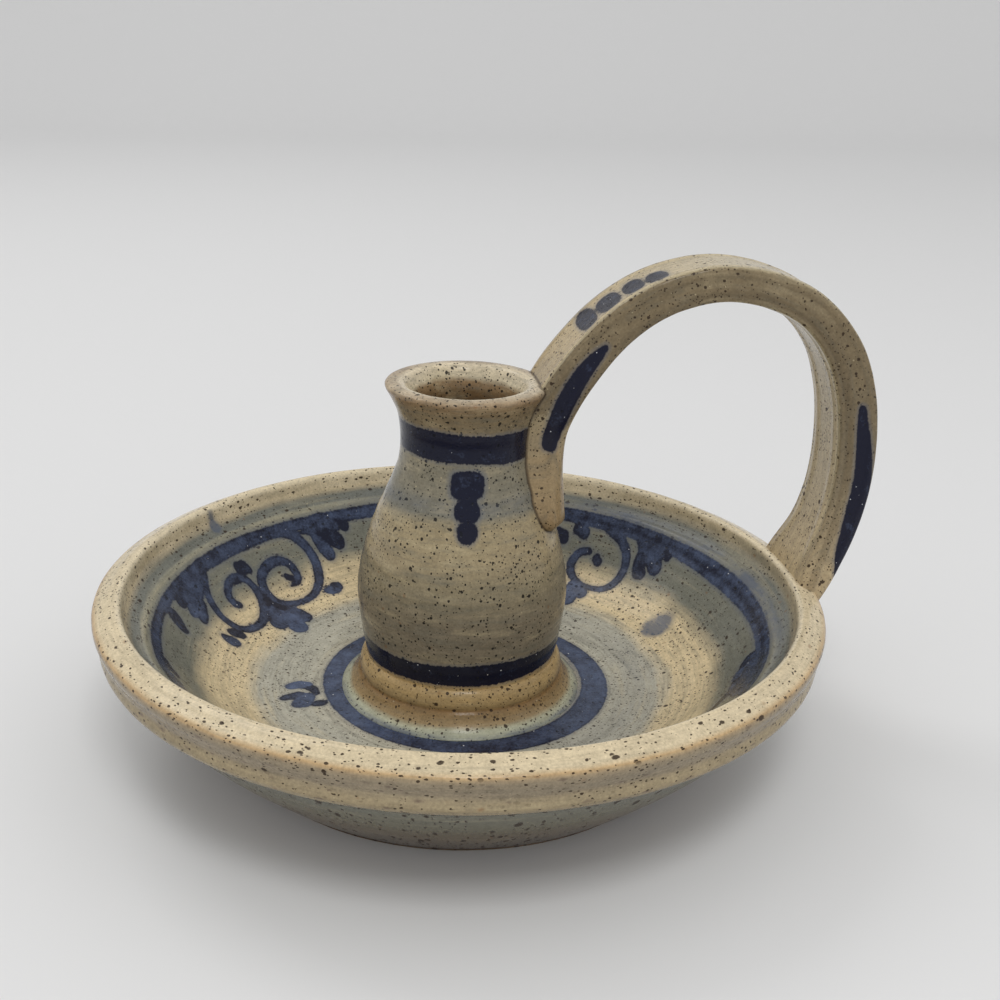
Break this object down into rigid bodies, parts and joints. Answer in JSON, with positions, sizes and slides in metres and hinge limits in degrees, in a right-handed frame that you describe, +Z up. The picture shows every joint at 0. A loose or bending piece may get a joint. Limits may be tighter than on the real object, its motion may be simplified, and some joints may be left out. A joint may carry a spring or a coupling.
{
  "type": "chamberstick",
  "caption": "Glazed stoneware chamberstick: a drip dish with a thick rim, a bottle-shaped candle socket and a tall strap handle looped from neck to rim.",
  "frame": {"origin": "the middle of the flat foot that the dish rests on", "axes": "+Z up along the axis that the dish and the socket were thrown on; +X from that axis towards the middle of the strap handle"},
  "size_m": [0.1762, 0.165, 0.1118],
  "materials": {
    "dish_glaze": "speckled tan and grey-green salt glaze with cobalt brushwork",
    "socket_glaze": "speckled tan and grey-green salt glaze with cobalt bands and dots",
    "collar_glaze": "speckled ochre salt glaze",
    "handle_glaze": "speckled tan salt glaze with cobalt strokes and dots"
  },
  "bodies": {
    "root": {"dish": "dish_glaze", "candle_socket": "socket_glaze", "foot_collar": "collar_glaze", "handle": "handle_glaze"}
  },
  "joints": []
}
